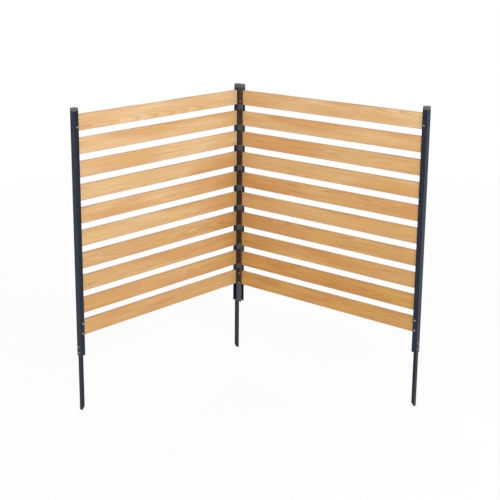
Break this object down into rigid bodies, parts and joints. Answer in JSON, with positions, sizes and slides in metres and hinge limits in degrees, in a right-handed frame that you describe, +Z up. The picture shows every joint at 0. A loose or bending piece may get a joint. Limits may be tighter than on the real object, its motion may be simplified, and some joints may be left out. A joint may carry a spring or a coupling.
{
  "type": "garden privacy screen",
  "caption": "Corner privacy screen for a garden: level wooden slats held with even gaps in square metal posts, with end caps above and ground stakes below.",
  "frame": {"origin": "middle of the footprint, at the level of the stake tips; the ground line in use is the posts' feet, 0.255 m higher", "axes": "+Z up; the right panel runs along +X from the corner and the left panel along -Y, so the sheltered side faces +X and -Y"},
  "size_m": [1.0798, 1.0548, 1.345],
  "materials": {
    "slat": "clear-oiled light softwood, fine lengthwise grain",
    "post": "charcoal powder coat, satin",
    "cap": "mid grey moulded plastic, matt",
    "stake": "dark grey coated steel",
    "spacer": "black moulded plastic",
    "screw": "zinc-plated steel",
    "rivet": "plain aluminium"
  },
  "bodies": {
    "root": {"corner_rivets": "rivet", "left_inner_cap": "cap", "left_inner_post": "post", "left_inner_slat_screws": "screw", "left_inner_spacers": "spacer", "left_inner_stake": "stake", "left_inner_stake_screws": "screw", "left_outer_cap": "cap", "left_outer_post": "post", "left_outer_slat_screws": "screw", "left_outer_spacers": "spacer", "left_outer_stake": "stake", "left_outer_stake_screws": "screw", "left_slat_01": "slat", "left_slat_02": "slat", "left_slat_03": "slat", "left_slat_04": "slat", "left_slat_05": "slat", "left_slat_06": "slat", "left_slat_07": "slat", "left_slat_08": "slat", "left_slat_09": "slat", "left_slat_10": "slat", "right_inner_cap": "cap", "right_inner_post": "post", "right_inner_slat_screws": "screw", "right_inner_spacers": "spacer", "right_outer_cap": "cap", "right_outer_post": "post", "right_outer_slat_screws": "screw", "right_outer_spacers": "spacer", "right_outer_stake": "stake", "right_outer_stake_screws": "screw", "right_slat_01": "slat", "right_slat_02": "slat", "right_slat_03": "slat", "right_slat_04": "slat", "right_slat_05": "slat", "right_slat_06": "slat", "right_slat_07": "slat", "right_slat_08": "slat", "right_slat_09": "slat", "right_slat_10": "slat"}
  },
  "joints": []
}
